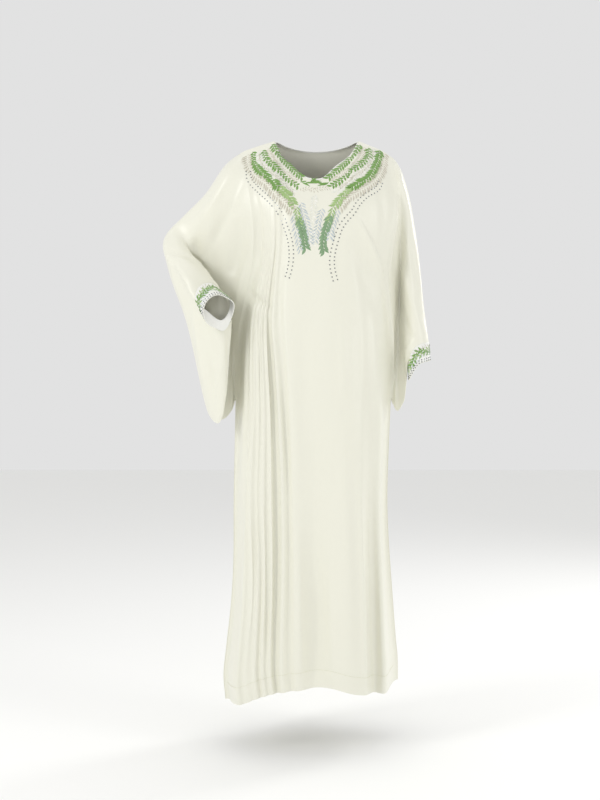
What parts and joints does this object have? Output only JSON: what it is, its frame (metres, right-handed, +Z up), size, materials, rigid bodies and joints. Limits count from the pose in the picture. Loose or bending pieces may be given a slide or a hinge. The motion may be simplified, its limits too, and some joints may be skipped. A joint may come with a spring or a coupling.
{
  "type": "boubou",
  "caption": "Floor-length batwing boubou in ivory satin, worn shape and hollow, with a V neck, wide wing sleeves and banded cuffs, open at neck, hem and cuffs",
  "frame": {"origin": "Midway between the two points where the shoulder seams meet the neck, on the line of the shoulder seams, where a wearer's shoulders hold the garment up", "axes": "+Z up, the front faces -Y, +X towards the wearer's left"},
  "size_m": [0.659, 0.3185, 1.3889],
  "materials": {
    "ivory_satin": "soft satin weave, ivory with a faint yellow green, gentle sheen",
    "white_cuff": "white satin under leaf embroidery",
    "white_binding": "white bias binding"
  },
  "bodies": {
    "root": {"front_panel": "ivory_satin", "back_panel": "ivory_satin", "right_sleeve": "ivory_satin", "left_sleeve": "ivory_satin", "right_cuff": "white_cuff", "left_cuff": "white_cuff", "neck_binding": "white_binding"}
  },
  "joints": []
}
